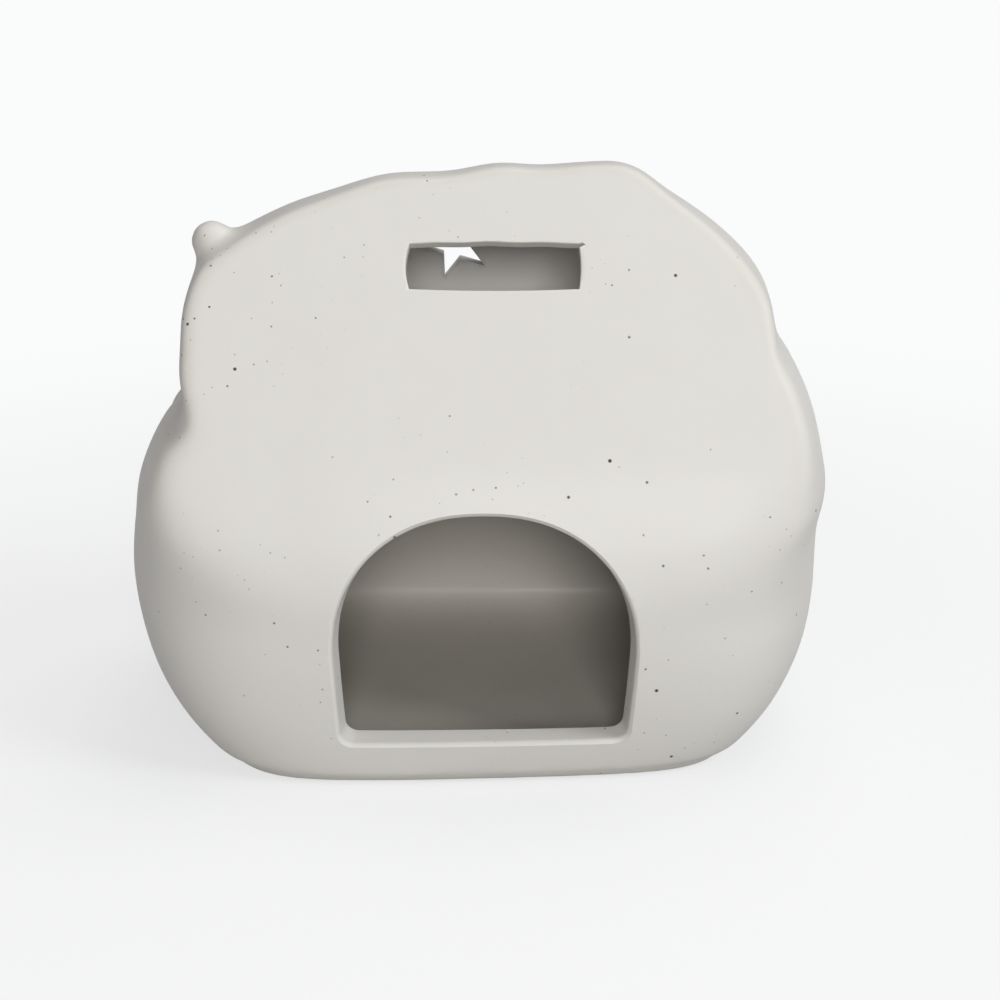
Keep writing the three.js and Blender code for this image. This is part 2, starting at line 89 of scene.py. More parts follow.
# Clouds on the front: turn, share, how deep the centre lies in the face and three radii, both in
# radii of a cloud
CLOUDS = (
    (141, 0.81, 1.08, 0.83, 1, 0.75),
    (156, 0.825, 0.92, 0.98, 1.17, 0.8),
    (173, 0.794, 1.3, 1.28, 1.42, 1.23),
    (-164, 0.77, 1.33, 1.33, 1.33, 1.33),
    (124.5, 0.86, 0.8, 0.97, 1.08, 0.87),
    (115, 0.835, 0.8, 0.97, 1.08, 0.87),
    (103.5, 0.825, 0.83, 1.02, 1.03, 0.87),
    (85, 0.835, 0.82, 1, 1.05, 0.83),
    (70.5, 0.852, 0.82, 1, 1.12, 0.95),
    (57, 0.845, 0.92, 1, 1.12, 0.95),
    (45, 0.79, 1.25, 0.97, 1.08, 0.92),
    (27.5, 0.749, 1.55, 1.57, 1.33, 1.57),
    (14.5, 0.793, 1.12, 1.17, 1.25, 0.87),
    (-7, 0.735, 1.47, 1.5, 1.42, 1.42),
    (-143.5, 0.61, 1.08, 2.08, 1.58, 1.33),
    (-80, 0.52, 0.53, 2.25, 1.33, 1.17),
    (-31.5, 0.66, 1.08, 1.83, 1.67, 1.42),
)


def length(name, description, default):
    """A length in millimetres, kept by Blender in metres."""
    return FloatProperty(
        name=name, description=description, default=default * MM, unit="LENGTH", precision=5
    )


def ratio(name, description, default):
    """A share, an exponent, a strength or an angle in degrees."""
    return FloatProperty(name=name, description=description, default=default, precision=4)


def rounds(name, description, default):
    """How often a step is done."""
    return IntProperty(name=name, description=description, default=default)


def colour_of(name, description, default):
    """A colour that the user can change."""
    return FloatVectorProperty(
        name=name, description=description, default=default, subtype="COLOR", size=3, min=0, max=1
    )


def power(name, description, default):
    """The power of a lamp."""
    return FloatProperty(name=name, description=description, default=default, unit="POWER")


class HolderBody(bpy.types.PropertyGroup):
    """Sizes of the shell."""

    width: length("Width", "Width of the holder", 138.3)
    height: length("Height", "Height of the mound", 112.6)
    wall: length("Wall", "Thickness of the cast wall", 5)
    top_wall: length("Top wall", "Least level thickness of the leaning back's wall", 3)
    star_wall: length("Star wall", "Greatest level thickness of the front's wall", 3.8)
    back_depth: length("Back depth", "How far the back stands off the seam", 42)
    front_depth: length("Front depth", "How far the front stands off the seam", 42)
    crown: length("Crown height", "Height where both faces stand out furthest", 34)
    back_lean: length("Back lean", "How far the back has leaned in at the top", 38.5)
    front_lean: length("Front lean", "How far the front has leaned in at the top", 17)
    lean_bend: ratio("Lean bend", "1 is a straight lean", 1.5)
    top_spread: ratio("Top spread", "Depth of the egg that the panel is cut from", 1.35)
    foot_spread: ratio("Foot spread", "The same below the crown", 1.8)
    shoulder_spread: ratio("Shoulder spread", "The same on the back's shoulders", 2.8)
    front_spread: ratio("Front spread", "The same at the front's upper rim", 1.0)
    edge_hardness: ratio("Edge hardness", "How tightly the panel's upper edges turn", 9)
    side_hardness: ratio("Side hardness", "How tightly its sides turn", 4.5)
    foot_tuck: length("Foot tuck", "How far both faces come in again at the foot", 4.4)
    tuck_skew: length("Tuck skew", "Less tuck at the left of the foot, more at the right", 3.2)
    foot_round: length("Foot rounding", "Rounded edge where the foot meets the table", 2.2)
    foot_ring: length("Foot ring", "Width of the ring that the holder stands on", 9)
    cloud_radius: length("Cloud radius", "Radius that the clouds are sized by", 12)
    cloud_drop: length("Cloud drop", "How far the upper clouds lie below the rim", 1.8)
    bump_radius: length("Bump radius", "Bump on the left shoulder", 4.1)
    bump_turn: ratio("Bump turn", "Its place round the crown, in degrees", 128.1)
    bump_off: length("Bump stand-off", "How far its centre lies off the outline", 1)
    bump_back: length("Bump place", "How far its centre lies behind the seam", 3.2)
    floor_top: length("Floor top", "Height of the floor that the candle stands on", 6)
    floor_thickness: length("Floor thickness", "Thickness of the floor", 4)
    back_cove: length("Back cove", "Height of the cove between the floor and the back", 3)
    front_cove: length("Front cove", "Height of the cove between the floor and the front", 9)
    slip_fineness: length("Slip fineness", "Size of the facets that the clouds are blended on", 1)
    slip_filling: rounds("Slip filling", "How often slip is worked into the hollows", 60)
    fineness: length("Fineness", "Size of the facets that the body is softened on", 0.75)
    softening: rounds("Softening", "How often the glaze evens out the surface", 3)


class HolderCuts(bpy.types.PropertyGroup):
    """Sizes of the candle door, the heat slot and the stars."""

    door_width: length("Door width", "Width of the candle door", 57.2)
    door_height: length("Door height", "Height of the candle door", 46.2)
    door_x: length("Door place", "How far the door lies right of the middle", 1.7)
    sill: length("Sill height", "Height of the door's sill above the table", 9)
    arch_rise: length("Arch rise", "Height of the arched part of the door", 27)
    arch_power: ratio("Arch fullness", "2 is an ellipse, and more is fuller", 2.25)
    door_corner: length("Door corner", "Radius of the door's lower corners", 2.6)
    jamb_lean: length("Jamb lean", "How far each jamb leans in at the sill", 0.7)
    door_taper: ratio("Door taper", "How much the door narrows with depth", 0.18)
    door_lip: length("Door lip", "Rounding of the door's outer edge", 1.1)
    slot_width: length("Slot width", "Width of the heat slot", 31.9)
    slot_height: length("Slot height", "Height of the heat slot", 9)
    slot_x: length("Slot place", "How far the slot lies right of the middle", 3.5)
    slot_z: length("Slot height above table", "Height of the slot's middle", 96.6)
    slot_bow: length("Slot bow", "How far the hand-cut edges bulge", 0.7)
    slot_nick: length("Slot nick", "How far the knife ran on at the right corner", 1.2)
    slot_waver: length("Slot waver", "How far the hand-cut upper edge wavers", 0.1)
    slot_lip: length("Slot lip", "Rounding of the slot's outer edge", 0.35)
    star_radius: length("Star radius", "Reach of each star's points", 7.5)
    star_inner: ratio("Star waist", "Inner corners, as a share of the points", 0.4)


class HolderGlaze(bpy.types.PropertyGroup):
    """Colours and gloss of the glaze and of the bare porcelain, and the painted light and painted
    shade inside.
    """

    white: colour_of("Glaze", "Colour of the glaze", (0.76, 0.745, 0.71))
    pooled: colour_of("Pooled glaze", "Colour where the glaze runs thick", (0.66, 0.66, 0.63))
    edge: colour_of("Thin glaze", "Colour where the glaze is thin on an edge", (0.70, 0.668, 0.625))
    bare: colour_of("Bare porcelain", "Colour of the unglazed foot", (0.70, 0.66, 0.59))
    # painted light: a colour lighter than the glaze high inside the chamber stands in for light
    # there
    clean: colour_of("Painted light inside", "Lighter colour painted high inside, as painted light", (0.9, 0.885, 0.86))
    # painted shade: a dark colour low inside the chamber stands in for the shade there
    inside: colour_of("Inside", "Dark colour painted low inside, as painted shade", (0.46, 0.435, 0.39))
    speck: colour_of("Iron speck", "Colour of the iron specks", (0.05, 0.035, 0.028))
    speck_spacing: length("Speck spacing", "Mean distance between specks in the clay", 6)
    speck_radius: length("Speck radius", "Radius of the largest specks", 0.35)
    dust_spacing: length("Dust spacing", "Mean distance between the finest specks", 2.1)
    dust_radius: length("Dust radius", "Radius of the finest specks", 0.2)
    swell: length("Swell", "Height of the glaze's long soft waves", 0.3)
    peel: length("Peel", "Height of the glaze's fine ripple", 0.012)
    gloss: ratio("Roughness", "Roughness of the glaze", 0.54)


class HolderStage(bpy.types.PropertyGroup):
    """The floor, the lights and the camera."""

    floor: colour_of("Floor", "Colour of the floor", (0.96, 0.965, 0.97))
    bounce: colour_of("Bounce", "Colour of the light that it throws back", (0.33, 0.33, 0.33))
    lens: FloatProperty(
        name="Lens", description="Focal length of the camera", default=74.52, unit="CAMERA"
    )
    distance: length("Distance", "How far the camera stands from what it looks at", 420)
    aim_x: length("Aim to the right", "What the camera looks at, right of the middle", 4.6)
    aim_z: length("Aim height", "What the camera looks at, above the table", 45)
    elevation: ratio("Elevation", "How far above level the camera stands, in degrees", 19)
    key_power: power("Main lamp", "Power of the soft lamp at the right", 6.5)
    front_power: power("Front lamp", "Power of the lamp beside the camera", 8.2)
    top_power: power("Top lamp", "Power of the wide lamp overhead", 4.2)
    room: ratio("Room light", "Strength of the even light of the room", 0.2)


# The form of the walls


class Plan:
    """The outline moved in by an inset, as a distance from the crown for each direction."""

    CALM_TURN = 0.5  # near the crown the outline's waves are averaged out over this angle
    CALM_SPOTS = 9
    EDGE_PULL = 4  # and they come back with this power of the way to the edge

    def __init__(self, body, inset=0.0, per_span=24):
        points = np.array(OUTLINE) * (body.width, body.height) - (0, body.crown)
        at, run = smooth_loop(points, per_span)
        x = at[:, 0] - inset * run[:, 1]
        z = at[:, 1] + inset * run[:, 0]
        angle = np.arctan2(z, x)
        order = np.argsort(angle)
        self.angles = angle[order]
        self.radii = np.hypot(x, z)[order]

    def edge(self, angle):
        """How far the outline lies from the crown."""
        return np.interp(angle, self.angles, self.radii, period=TWO_PI)

    def calm(self, angle):
        """The same with its waves averaged out."""
        offsets = np.linspace(-self.CALM_TURN, self.CALM_TURN, self.CALM_SPOTS)
        return sum(self.edge(angle + offset) for offset in offsets) / len(offsets)

    def reach(self, share, angle):
        """How far from the crown a share of the way to the outline lies."""
        calm = self.calm(angle)
        return share * (calm + (self.edge(angle) - calm) * share**self.EDGE_PULL)

    def share(self, reach, angle):
        """The share at a reach."""
        calm = self.calm(angle)
        edge = self.edge(angle)

        def short(middle):
            return middle * (calm + (edge - calm) * middle**self.EDGE_PULL) < reach

        low, high = halved(np.zeros_like(reach), np.ones_like(reach), short)
        return (low + high) / 2


def halved(low, high, short):
    """Closes in, from both ends, on the places up to which a test holds."""
    for _ in range(HALVINGS):
        middle = (low + high) / 2
        below = short(middle)
        low = np.where(below, middle, low)
        high = np.where(below, high, middle)
    return low, high


def smooth_loop(points, per_span):
    """Points along a centripetal Catmull-Rom loop, and the unit direction of the run at each."""
    before, here = np.roll(points, 1, 0), points
    after, beyond = np.roll(points, -1, 0), np.roll(points, -2, 0)

    def knot(a, b):
        return np.sqrt(np.linalg.norm(b - a, axis=1))[:, None]

    d0, d1, d2 = knot(before, here), knot(here, after), knot(after, beyond)
    out = d1 * ((here - before) / d0 - (after - before) / (d0 + d1) + (after - here) / d1)
    into = d1 * ((after - here) / d1 - (beyond - here) / (d1 + d2) + (beyond - after) / d2)
    at, run = [], []
    for t in np.arange(per_span) / per_span:
        square = -3 * here + 3 * after - 2 * out - into
        cube = 2 * here - 2 * after + out + into
        at.append(here + out * t + square * t**2 + cube * t**3)
        run.append(out + 2 * square * t + 3 * cube * t**2)
    at = np.stack(at, 1).reshape(-1, 2)
    run = np.stack(run, 1).reshape(-1, 2)
    return at, run / np.linalg.norm(run, axis=1)[:, None]


def outward(points, distance=1.0):
    """Steps of one length out of a closed flat outline that runs anticlockwise."""
    run = np.roll(points, -1, 0) - np.roll(points, 1, 0)
    out = np.stack([run[:, 1], -run[:, 0]], 1)
    return distance * out / np.linalg.norm(out, axis=1)[:, None]


def rings(segments, count):
    """Directions round the crown, and rows from the back crown to the front one: share and side."""
    angle = (np.arange(segments) + 0.5) / segments * TWO_PI - math.pi
    turns = np.linspace(0, math.pi, 2 * count + 1)
    return angle, [(math.sin(turn), -np.sign(round(math.cos(turn), 9))) for turn in turns]


def smooth_step(value, low, high):
    """0 below low, 1 above high, and smooth between."""
    share = np.clip((value - low) / (high - low), 0, 1)
    return share * share * (3 - 2 * share)


class Form:
    """The two faces of the mound, and the places on them."""

    SPREAD_START = -0.64  # sines of the slopes below the crown between which the spread grows
    SPREAD_END = 0.7
    SHOULDER_START = -0.05  # and above the crown, between which the back's shoulders begin
    SHOULDER_END = 0.65
    RIM_START = 0.82  # shares of the way to the outline between which the front's rim begins
    RIM_END = 0.97
    COVE_POWER = 4
    CORNER_HARDNESS = 24
    LEAST = 1e-9  # keeps a root or a share from nothing
    ENDLESS = 1e9  # the way to the floor in a direction that never meets it
    LEAST_DEPTH = 0.2 * MM  # of the space behind the back, where its wall would meet the seam
    STEP = 0.5 * MM  # between two places that a slope is read from

    def __init__(self, body):
        self.body = body
        self.plan = Plan(body)
        self.half_foot = OUTLINE[0][0] * body.width

    def left_end(self):
        """How far the mound reaches to the left, with its bump."""
        turn = math.radians(self.body.bump_turn)
        bump = (self.plan.edge(turn) + self.body.bump_off) * math.cos(turn) - self.body.bump_radius
        return min(bump, (self.plan.radii * np.cos(self.plan.angles)).min())

    def fullness(self, front, share, angle, x, z):
        """How far a face stands out, as a share of its depth."""
        body = self.body
        rise = (z - body.crown) / (body.height - body.crown)
        lean = body.front_lean / body.front_depth if front else body.back_lean / body.back_depth
        lean = lean * np.maximum(0, rise) ** body.lean_bend
        skewed = body.foot_tuck + body.tuck_skew * x / self.half_foot
        tuck = skewed / body.back_depth * np.maximum(0, 1 - z / body.crown) ** 2
        down = smooth_step(-np.sin(angle), self.SPREAD_START, self.SPREAD_END)
        spread = body.top_spread + (body.foot_spread - body.top_spread) * down
        up = smooth_step(np.sin(angle), self.SHOULDER_START, self.SHOULDER_END)
        hard = body.side_hardness + (body.edge_hardness - body.side_hardness) * up
        if front:
            rim = smooth_step(share, self.RIM_START, self.RIM_END)
            spread = spread + (body.front_spread - spread) * up * rim
        else:
            spread = spread + (body.shoulder_spread - spread) * up
        egg = spread * np.sqrt(np.maximum(self.LEAST, 1 - share * share))
        return self.lesser(1 - lean - tuck, egg, hard) / self.lesser(1, spread, hard)

    def lesser(self, one, other, hard):
        """The lesser of two depths, blended where they are alike."""
        return (one**-hard + other**-hard) ** (-1 / hard)

    def depth(self, x, z, front=False):
        """How far a face stands off the seam over a point of the back view."""
        rise = z - self.body.crown
        angle = np.arctan2(rise, x)
        share = self.plan.share(np.hypot(x, rise), angle)
        whole = self.body.front_depth if front else self.body.back_depth
        return whole * self.fullness(front, share, angle, x, z)

    def slopes(self, x, z, front=False):
        """The depth over a point, and how fast it falls to the right and upwards."""
        step = self.STEP
        spots = np.array([(x, z), (x + step, z), (x - step, z), (x, z + step), (x, z - step)])
        y = self.depth(spots[:, 0], spots[:, 1], front)
        return y[0], (y[2] - y[1]) / (2 * step), (y[4] - y[3]) / (2 * step)

    def spot(self, angle, reach):
        """The point of the back view at a reach from the crown."""
        return reach * np.cos(angle), self.body.crown + reach * np.sin(angle)

    def front_point(self, turn, share):
        """A point of the front face, and the direction out of it."""
        angle = math.radians(turn)
        x, z = self.spot(angle, self.plan.reach(share, angle))
        y, right, up = self.slopes(x, z, front=True)
        return Vector((x, y, z)), Vector((right, 1, up)).normalized()

    def mound(self, segments, count):
        """Rows of points from the back crown to the front crown."""
        angle, steps = rings(segments, count)
        rows = []
        for part, side in steps:
            share = np.full(segments, part)
            x, z = self.spot(angle, self.plan.reach(share, angle))
            whole = self.body.back_depth if side < 0 else self.body.front_depth
            full = self.fullness(side > 0, share, angle, x, z)
            rows.append(np.stack([x, side * whole * full, z], 1))
        return rows

    def chamber(self, segments, count):
        """The space inside the walls, down to the floor in a cove."""
        body = self.body
        plan = Plan(body, body.wall)
        angle, steps = rings(segments, count)
        fall = np.maximum(self.LEAST, -np.sin(angle))
        floor_reach = np.where(angle < 0, (body.crown - body.floor_top) / fall, self.ENDLESS)
        hard = self.CORNER_HARDNESS
        whole_reach = (plan.edge(angle) ** -hard + floor_reach**-hard) ** (-1 / hard)
        rows = []
        for part, side in steps:
            reach = part * whole_reach
            x, z = self.spot(angle, reach)
            whole = (body.back_depth if side < 0 else body.front_depth) - body.wall
            cove = body.back_cove if side < 0 else body.front_cove
            left = np.clip(1 - (z - body.floor_top) / cove, 0, 1)
            shut = np.maximum(0, 1 - left**self.COVE_POWER) ** (1 / self.COVE_POWER)
            deep = whole * self.fullness(side > 0, plan.share(reach, angle), angle, x, z)
            if side < 0:
                deep = np.clip(self.depth(x, z) - body.top_wall, self.LEAST_DEPTH, deep)
            elif side > 0:
                rise = smooth_step(z, body.crown, body.crown + (body.height - body.crown) / 2)
                thin = np.maximum(deep, self.depth(x, z, front=True) - body.star_wall)
                deep = deep + (thin - deep) * rise
            rows.append(np.stack([x, side * deep * shut, z], 1))
        return rows

    def footprint(self, segments=360):
        """Where the faces meet the table, and the level direction out at each point."""
        angle = (np.arange(segments) + 0.5) / segments * TWO_PI
        table = np.zeros(segments)

        def inside(middle):
            x = middle * np.cos(angle)
            back = self.depth(x, table)
            front = self.depth(x, table, front=True)
            return np.where(angle > math.pi, back, front) > middle * np.abs(np.sin(angle))

        far = np.full(segments, self.body.crown + self.body.back_depth)
        reach, _ = halved(table, far, inside)
        points = np.stack([reach * np.cos(angle), reach * np.sin(angle)], 1)
        return points, outward(points)

    def foot_rows(self, levels):
        """Rows of the footprint: each level is a height and how far it is moved out."""
        points, out = self.footprint()
        heights = np.ones(len(points))
        return [np.column_stack([points + out * offset, heights * z]) for z, offset in levels]


# Meshes


def skin(name, rows):
    """A closed body through rows of points, closed at both ends on the middle of the end row."""
    segments = len(rows[0])
    points = np.vstack([rows[0].mean(0)[None], *rows, rows[-1].mean(0)[None]])
    last = len(points) - 1
    faces = []
    ahead = np.roll(np.arange(segments), -1)
    for row in range(len(rows) - 1):
        a = 1 + row * segments + np.arange(segments)
        b = 1 + row * segments + ahead
        faces += np.stack([a, a + segments, b + segments, b], 1).tolist()
    for i in range(segments):
        faces.append((0, 1 + i, 1 + int(ahead[i])))
        faces.append((last, last - segments + int(ahead[i]), last - segments + i))
    return closed_mesh(name, points.tolist(), faces)


TOUCHING = 0.001 * MM  # two points closer than this are taken for one
DOUBLED = 1e-7  # the same in a new mesh, in metres
LEAST_EDGE = 1e-8


def closed_mesh(name, points, faces):
    """A mesh with merged doubles and faces that point outwards."""
    mesh = bpy.data.meshes.new(name)
    mesh.from_pydata(points, [], faces)
    made = bmesh.new()
    made.from_mesh(mesh)
    bmesh.ops.remove_doubles(made, verts=made.verts, dist=DOUBLED)
    bmesh.ops.dissolve_degenerate(made, edges=made.edges, dist=LEAST_EDGE)
    bmesh.ops.recalc_face_normals(made, faces=made.faces)
    made.to_mesh(mesh)
    made.free()
    return mesh


def laid_out(name, mesh):
    """An object at the origin that holds a mesh."""
    made = bpy.data.objects.new(name, mesh)
    bpy.context.scene.collection.objects.link(made)
    return made


def solid(name, rows):
    """An object with a closed skin through rows of points."""
    return laid_out(name, skin(name, rows))


def settled(made):
    """The object's mesh with its modifiers applied, and the modifiers gone."""
    graph = bpy.context.evaluated_depsgraph_get()
    mesh = bpy.data.meshes.new_from_object(made.evaluated_get(graph))
    old = made.data
    made.modifiers.clear()
    made.data = mesh
    bpy.data.meshes.remove(old)
    return made


def combined(made, other, operation):
    """Joins, cuts or keeps what two bodies share. The second one is used up."""
    step = made.modifiers.new("cut", "BOOLEAN")
    step.operation = operation
    step.solver = "MANIFOLD"
    step.object = other
    settled(made)
    used = other.data
    bpy.data.objects.remove(other)
    if used.users == 0:
        bpy.data.meshes.remove(used)
    return made


def block(name, low, high):
    """A plain box to cut with."""
    points = list(itertools.product(*zip(low, high)))
    faces = [(0, 1, 3, 2), (4, 6, 7, 5), (0, 4, 5, 1), (2, 3, 7, 6), (0, 2, 6, 4), (1, 5, 7, 3)]
    return laid_out(name, closed_mesh(name, points, faces))


# What repeats: the clouds and the stars, set out by geometry nodes


def marks(name, places, **vectors):
    """Loose points that carry a vector each by name, for a node tree to read."""
    mesh = bpy.data.meshes.new(name)
    mesh.from_pydata([tuple(place) for place in places], [], [])
    for key, values in vectors.items():
        layer = mesh.attributes.new(key, "FLOAT_VECTOR", "POINT")
        layer.data.foreach_set("vector", np.array(values, np.float32).ravel())
    return laid_out(name, mesh)


class Nodes:
    """A node tree under construction."""

    def __init__(self, tree):
        self.tree = tree

    def add(self, kind, inputs=None, **settings):
        """A node, the values or links of its sockets by name or by number, and its settings."""
        node = self.tree.nodes.new(kind)
        for key, value in settings.items():
            setattr(node, key, value)
        for key, value in (inputs or {}).items():
            socket = node.inputs[key]
            source = getattr(value, "socket", value)
            if isinstance(source, bpy.types.NodeSocket):
                self.tree.links.new(source, socket)
            else:
                socket.default_value = source
        return node

    def value(self, kind, inputs=None, out=0, **settings):
        """One output of a new node, as a value to reckon with."""
        return Value(self, self.add(kind, inputs, **settings).outputs[out])


class Value:
    """A number that changes over a surface. Reckoning with it adds Math nodes."""

    def __init__(self, nodes, socket):
        self.nodes = nodes
        self.socket = socket

    def worked(self, operation, *terms, clamp=False):
        """The outcome of one Math node."""
        inputs = dict(enumerate(terms))
        return self.nodes.value("ShaderNodeMath", inputs, operation=operation, use_clamp=clamp)

    def __add__(self, other):
        return self.worked("ADD", self, other)

    __radd__ = __add__

    def __sub__(self, other):
        return self.worked("SUBTRACT", self, other)

    def __rsub__(self, other):
        return self.worked("SUBTRACT", other, self)

    def __mul__(self, other):
        return self.worked("MULTIPLY", self, other)

    __rmul__ = __mul__

    def clamped(self):
        """The same, kept between 0 and 1."""
        return self.worked("ADD", self, 0, clamp=True)

    def above(self, low, high):
        """0 below low, 1 above high, and smooth between."""
        inputs = {"Value": self, "From Min": low, "From Max": high}
        return self.nodes.value("ShaderNodeMapRange", inputs, interpolation_type="SMOOTHSTEP")


def named_vector(nodes, name):
    """The vector that each mark carries under a name."""
    inputs = {"Name": name}
    return nodes.value("GeometryNodeInputNamedAttribute", inputs, data_type="FLOAT_VECTOR")


def node_tree(name, inputs):
    """A geometry node tree with named inputs. Gives its builder, its inputs and its output."""
    tree = bpy.data.node_groups.new(name, "GeometryNodeTree")
    face = tree.interface
    face.new_socket("Geometry", in_out="INPUT", socket_type="NodeSocketGeometry")
    for key, kind in inputs:
        face.new_socket(key, in_out="INPUT", socket_type=kind)
    face.new_socket("Geometry", in_out="OUTPUT", socket_type="NodeSocketGeometry")
    nodes = Nodes(tree)
    return nodes, nodes.add("NodeGroupInput").outputs, nodes.add("NodeGroupOutput").inputs[0]


def finished(nodes, given, out, instance, **pose):
    """The end of a tree: the instance on each mark, as real geometry in glazed porcelain."""
    inputs = {"Points": given["Geometry"], "Instance": instance, **pose}
    placed = nodes.value("GeometryNodeInstanceOnPoints", inputs)
    real = nodes.value("GeometryNodeRealizeInstances", {0: placed})
    painted = nodes.value("GeometryNodeSetMaterial", {0: real, "Material": glazed()})
    nodes.tree.links.new(painted.socket, out)


def cloud_tree():
    """A smooth ball on each mark, stretched by the mark's radii."""
    nodes, given, out = node_tree("Cloud bank", [("Fineness", "NodeSocketInt")])
    ball = nodes.value(
        "GeometryNodeMeshIcoSphere", {"Radius": 1.0, "Subdivisions": given["Fineness"]}
    )
    finished(nodes, given, out, ball, Scale=named_vector(nodes, "radii"))
    return nodes.tree


STAR_POINTS = 5


def star_tree():
    """A star-shaped punch through each mark, tilted as the mark says."""
    sizes = ("Radius", "Waist", "Depth")
    nodes, given, out = node_tree("Star punches", [(size, "NodeSocketFloat") for size in sizes])
    depth = Value(nodes, given["Depth"])
    waist = Value(nodes, given["Radius"]) * Value(nodes, given["Waist"])
    loop = nodes.value(
        "GeometryNodeCurveStar",
        {"Points": STAR_POINTS, "Inner Radius": waist, "Outer Radius": given["Radius"]},
    )
    flat = nodes.value("GeometryNodeFillCurve", {0: loop})
    raised = nodes.value(
        "GeometryNodeExtrudeMesh", {0: flat, "Offset Scale": depth, "Individual": False}
    )
    under = nodes.value("GeometryNodeFlipFaces", {0: flat})
    both = nodes.add("GeometryNodeJoinGeometry")
    for part in (raised, under):
        nodes.tree.links.new(part.socket, both.inputs[0])
    closed = nodes.value(
        "GeometryNodeMergeByDistance", {0: both.outputs[0], "Distance": TOUCHING}
    )
    down = nodes.value("ShaderNodeCombineXYZ", {"Z": depth * -0.5})
    centred = nodes.value("GeometryNodeTransform", {0: closed, "Translation": down})
    turned = nodes.value("FunctionNodeEulerToRotation", {0: named_vector(nodes, "tilt")})
    finished(nodes, given, out, centred, Rotation=turned)
    return nodes.tree


def grown(made, tree, **sizes):
    """Runs a tree on an object, and leaves the plain mesh that it makes."""
    step = made.modifiers.new("grown", "NODES")
    step.node_group = tree
    for item in tree.interface.items_tree:
        if item.in_out == "INPUT" and item.name in sizes:
            step[item.identifier] = sizes[item.name]
    return settled(made)


# The body


BALL_FINENESS = 6  # how often the faces of a cloud's ball are split


def cloud_bank(form):
    """The clouds, before they are blended into the front."""
    places = []
    radii = []
    for turn, share, sink, *sizes in CLOUDS:
        point, _ = form.front_point(turn, share)
        up = smooth_step(math.sin(math.radians(turn)), form.SHOULDER_START, form.SHOULDER_END)
        sunk = Vector((0, sink * form.body.cloud_radius, float(up) * form.body.cloud_drop))
        places.append(point - sunk)
        radii.append([size * form.body.cloud_radius for size in sizes])
    return grown(marks("clouds", places, radii=radii), cloud_tree(), Fineness=BALL_FINENESS)


PUNCH_DEPTH = 8  # in walls


def star_punches(form, cuts):
    """The punches for the stars, level and square to the front's plan."""
    places = []
    tilts = []
    for turn, share, own in STARS:
        point, out = form.front_point(turn, share)
        out = Vector((out.x, out.y, 0)).normalized()
        across = Vector((0, 0, 1)).cross(out).normalized()
        up = out.cross(across)
        basis = Matrix((across, up, out)).transposed()
        spin = Matrix.Rotation(math.radians(own + 90), 3, "Z")
        places.append(point)
        tilts.append((basis @ spin).to_euler("XYZ"))
    sizes = {
        "Radius": cuts.star_radius, "Waist": cuts.star_inner, "Depth": PUNCH_DEPTH * form.body.wall,
    }
    return grown(marks("stars", places, tilt=tilts), star_tree(), **sizes)


def door_outline(cuts):
    """Points round the door as it is drawn on the back, anticlockwise from the left of the sill."""
    half = cuts.door_width / 2
    foot = half - cuts.jamb_lean
    corner = cuts.door_corner
    spring = cuts.door_height - cuts.arch_rise
    sill_points, corner_points, jamb_points, arch_points = 40, 8, 16, 72
    sill = [(x, 0) for x in np.linspace(corner - foot, foot - corner, sill_points)]
    bend = [math.pi / 2 * (i / corner_points - 1) for i in range(1, corner_points)]
    right = [(foot - corner + corner * math.cos(a), corner + corner * math.sin(a)) for a in bend]
    rise = np.linspace(0, 1, jamb_points)
    jamb = [(foot + (half - foot) * t, corner + (spring - corner) * t) for t in rise]
    arch = []
    for a in np.linspace(0, math.pi, arch_points)[1:-1]:
        across = math.copysign(abs(math.cos(a)) ** (2 / cuts.arch_power), math.cos(a))
        upward = math.sin(a) ** (2 / cuts.arch_power)
        arch.append((half * across, spring + cuts.arch_rise * upward))
    left = [(-x, z) for x, z in reversed(right + jamb)]
    return np.array(sill + right + jamb + arch + left)


LIP_START = math.radians(28)  # the lip meets the skin at this turn, so that it shows as a line
LIP_ROWS = 7
FLARE_HEIGHT = 0.2  # so far outside the skin, in lips, the cutter is wider by the next number,
FLARE_WIDTH = 0.15  # so that it meets the skin at a clear angle


def lip_levels(lip, outside, inside):
    """A rounded edge, as levels: how deep each lies in the wall and how much wider it is there."""
    edge = [
        (lip * (math.cos(LIP_START) - math.cos(turn)), lip * (1 - math.sin(turn)))
        for turn in np.linspace(LIP_START, math.pi / 2, LIP_ROWS)
    ]
    flare = (-FLARE_HEIGHT * lip, edge[0][1] + FLARE_WIDTH * lip)
    return [(-outside, lip), flare, *edge, (inside, 0)]


def noted(mesh, key, values):
    """Keeps a number for each point of a mesh, or one for all, for the finishes to read."""
    values = np.broadcast_to(np.asarray(values, np.float32), len(mesh.vertices))
    mesh.attributes.new(key, "FLOAT", "POINT").data.foreach_set("value", np.array(values))
    return mesh


def search_tree(points):
    """A tree that finds the nearest of some points."""
    tree = KDTree(len(points))
    for i, point in enumerate(points.tolist()):
        tree.insert(point, i)
    tree.balance()
    return tree


EDGE_CREASE = -0.8  # a crease of -1 is as sharp as an edge gets, and one of 1 as hollow


def thinned(mesh, rows, lip_rows):
    """Notes on a cutter where it leaves a sharp edge, from which the glaze draws back."""
    tree = search_tree(np.vstack(rows[:lip_rows]))
    sharp = [EDGE_CREASE if tree.find(p.co)[2] < TOUCHING else 0.0 for p in mesh.vertices]
    return noted(mesh, "crease", sharp)


def cutter(name, flat, levels, put):
    """A body that cuts an outline through a wall. Each level is put in its place by a function."""
    rows = [put(flat + outward(flat, wide), depth) for depth, wide in levels]
    return laid_out(name, thinned(skin(name, rows), rows, len(levels) - 1))


